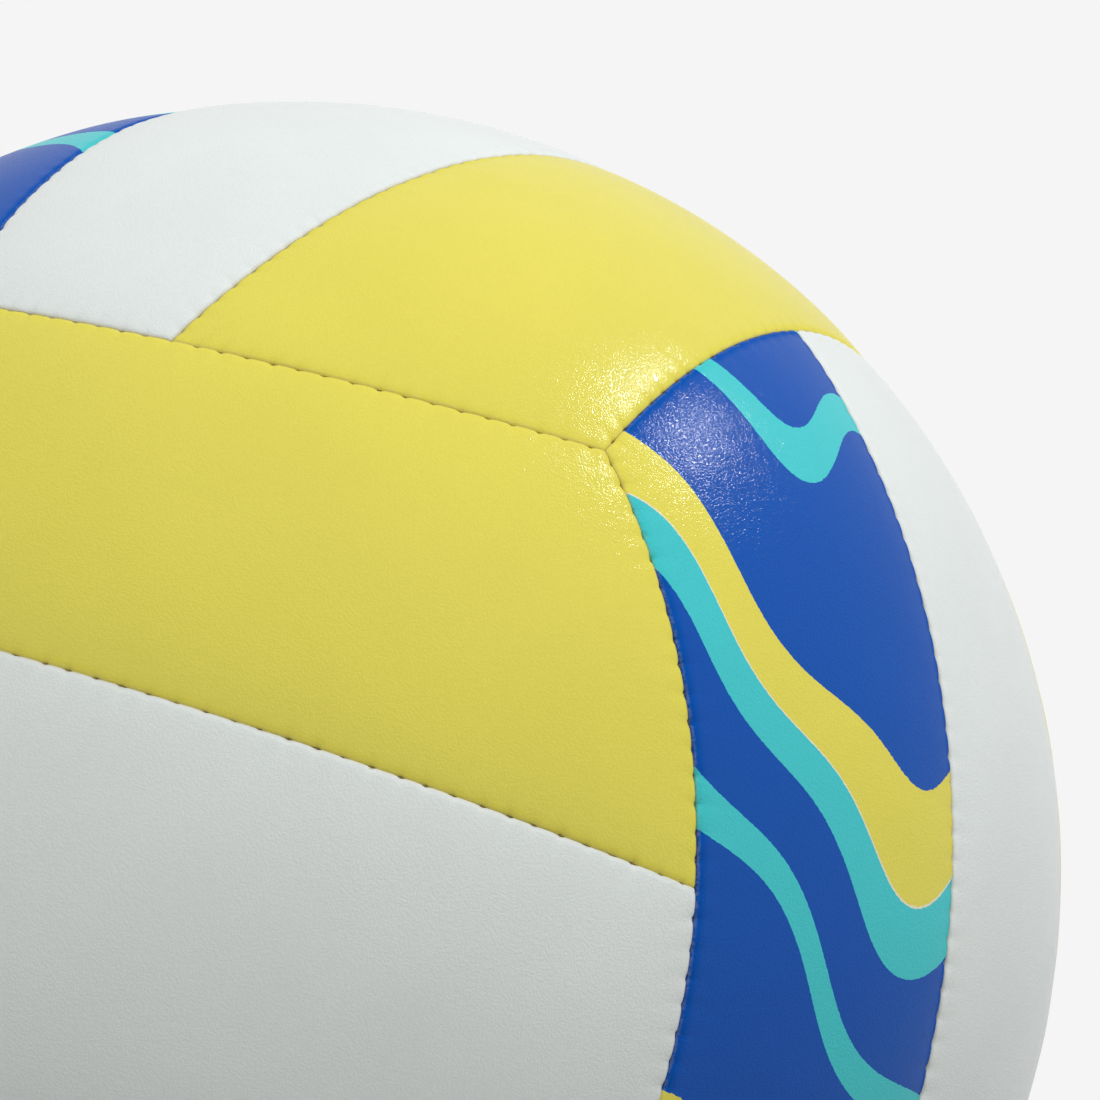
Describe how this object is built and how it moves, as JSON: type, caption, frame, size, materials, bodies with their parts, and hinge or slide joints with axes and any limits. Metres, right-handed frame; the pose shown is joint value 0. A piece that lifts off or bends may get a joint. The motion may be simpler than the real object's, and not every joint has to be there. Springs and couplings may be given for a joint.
{
  "type": "volleyball",
  "caption": "Inflatable volleyball with a sewn cover of padded strips in white, yellow and a wave print, a sealed bladder and a self-closing needle valve.",
  "frame": {"origin": "centre of the ball", "axes": "+Z out through the valve in the middle of the top face, -Y the front face, +X the right face"},
  "size_m": [0.21, 0.21, 0.2099],
  "materials": {
    "white_skin": "grained, semi-gloss",
    "yellow_skin": "grained, semi-gloss",
    "print_skin": "grained, semi-gloss, printed with waves",
    "foam": "closed-cell foam",
    "lining": "plain weave",
    "thread": "twisted polyester",
    "bladder_rubber": "matt",
    "valve_rubber": "matt",
    "plug_rubber": "satin"
  },
  "bodies": {
    "root": {"top_print_skin": "print_skin", "top_white_skin": "white_skin", "top_yellow_skin": "yellow_skin", "front_print_skin": "print_skin", "front_white_skin": "white_skin", "front_yellow_skin": "yellow_skin", "right_print_skin": "print_skin", "right_white_skin": "white_skin", "right_yellow_skin": "yellow_skin", "bottom_print_skin": "print_skin", "bottom_white_skin": "white_skin", "bottom_yellow_skin": "yellow_skin", "back_print_skin": "print_skin", "back_white_skin": "white_skin", "back_yellow_skin": "yellow_skin", "left_print_skin": "print_skin", "left_white_skin": "white_skin", "left_yellow_skin": "yellow_skin", "top_print_pad": "foam", "top_white_pad": "foam", "top_yellow_pad": "foam", "front_print_pad": "foam", "front_white_pad": "foam", "front_yellow_pad": "foam", "right_print_pad": "foam", "right_white_pad": "foam", "right_yellow_pad": "foam", "bottom_print_pad": "foam", "bottom_white_pad": "foam", "bottom_yellow_pad": "foam", "back_print_pad": "foam", "back_white_pad": "foam", "back_yellow_pad": "foam", "left_print_pad": "foam", "left_white_pad": "foam", "left_yellow_pad": "foam", "top_lining": "lining", "front_lining": "lining", "right_lining": "lining", "bottom_lining": "lining", "back_lining": "lining", "left_lining": "lining", "top_seam_thread": "thread", "front_seam_thread": "thread", "right_seam_thread": "thread", "bottom_seam_thread": "thread", "back_seam_thread": "thread", "left_seam_thread": "thread", "bladder": "bladder_rubber", "valve_patch": "valve_rubber", "valve_housing": "valve_rubber", "valve_core": "plug_rubber"}
  },
  "joints": []
}
